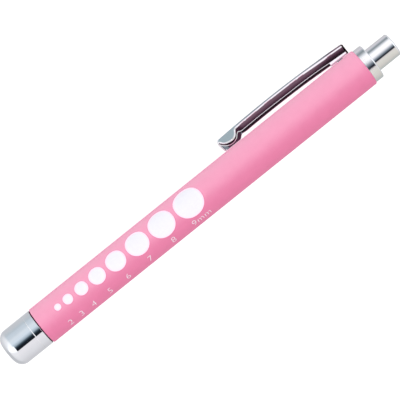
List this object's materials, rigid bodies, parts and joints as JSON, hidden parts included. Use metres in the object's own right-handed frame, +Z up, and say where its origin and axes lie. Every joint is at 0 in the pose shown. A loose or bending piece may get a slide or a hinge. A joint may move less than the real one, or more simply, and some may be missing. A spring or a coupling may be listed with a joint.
{
  "type": "penlight",
  "caption": "Slim pocket penlight with a rounded nose that screws off, a printed pupil gauge, a spring clip and a click button at the tail.",
  "frame": {"origin": "centre of the nose's flat front rim, on the pen's axis", "axes": "+X along the pen from the nose to the push button, +Z up from the table it lies on, +Y the side that the clip points to, about 20 degrees below level"},
  "size_m": [0.1389, 0.016, 0.0116],
  "materials": {
    "barrel_paint": "satin",
    "chrome": "polished",
    "clip_steel": "polished",
    "seal_rubber": "matte",
    "clear_lens": "polished",
    "reflector_aluminium": "polished",
    "led_epoxy": "polished",
    "tinned_lead": "satin",
    "black_plastic": "matte",
    "white_plastic": "matte",
    "circuit_board": "matte",
    "resistor_ceramic": "satin",
    "brass": "satin",
    "spring_steel": "polished",
    "cell_filling": "satin",
    "cell_jacket": "gloss",
    "cell_cap": "polished"
  },
  "bodies": {
    "barrel": {"barrel_tube": "barrel_paint", "tail_collar": "chrome", "switch_base": "black_plastic", "switch_housing": "black_plastic", "barrel_contact_ring": "brass", "centre_contact": "brass", "tail_spring": "spring_steel", "contact_spring": "spring_steel", "return_spring": "spring_steel", "front_cell_can": "cell_filling", "front_cell_jacket": "cell_jacket", "front_cell_positive_cap": "cell_cap", "front_cell_negative_cap": "cell_cap", "rear_cell_can": "cell_filling", "rear_cell_jacket": "cell_jacket", "rear_cell_positive_cap": "cell_cap", "rear_cell_negative_cap": "cell_cap"},
    "light_module": {"lens": "clear_lens", "reflector": "reflector_aluminium", "led_body": "led_epoxy", "led_leads": "tinned_lead", "led_holder": "black_plastic", "driver_board": "circuit_board", "resistor": "resistor_ceramic", "front_contact_spring": "spring_steel"},
    "head": {"bezel": "chrome", "head_o_ring": "seal_rubber", "module_retaining_ring": "brass"},
    "button": {"push_button": "chrome", "switch_plunger": "white_plastic"},
    "rotor": {"switch_rotor": "white_plastic", "moving_contact": "brass"},
    "clip": {"pocket_clip": "clip_steel"}
  },
  "joints": [
    {"name": "head_advance", "type": "slide", "parent": "barrel", "child": "light_module", "axis": [-1, 0, 0], "range_m": [0, 0.0055]},
    {"name": "bezel_turn", "type": "hinge", "parent": "light_module", "child": "head", "pos_m": [0, 0, 0], "axis": [-1, 0, 0], "range_deg": [0, 3960]},
    {"name": "button_press", "type": "slide", "parent": "barrel", "child": "button", "axis": [-1, 0, 0], "range_m": [0, 0.003], "stiffness_N_per_m": 400, "springref_m": -0.003, "deforming": ["return_spring", "contact_spring"]},
    {"name": "rotor_turn", "type": "hinge", "parent": "button", "child": "rotor", "pos_m": [0.11645, 0, 0], "axis": [-1, 0, 0], "range_deg": [0, 45]},
    {"name": "clip_flex", "type": "hinge", "parent": "barrel", "child": "clip", "pos_m": [0.12735, 0.00551, -0.002], "axis": [0, -0.342, -0.9397], "range_deg": [0, 3], "stiffness_Nm_per_rad": 4, "springref_deg": -0.57}
  ],
  "couplings": [
    {"joint": "head_advance", "follows": "bezel_turn", "m_per_rad": 0.000079576},
    {"joint": "rotor_turn", "follows": "button_press", "rad_per_m": 261.8}
  ]
}
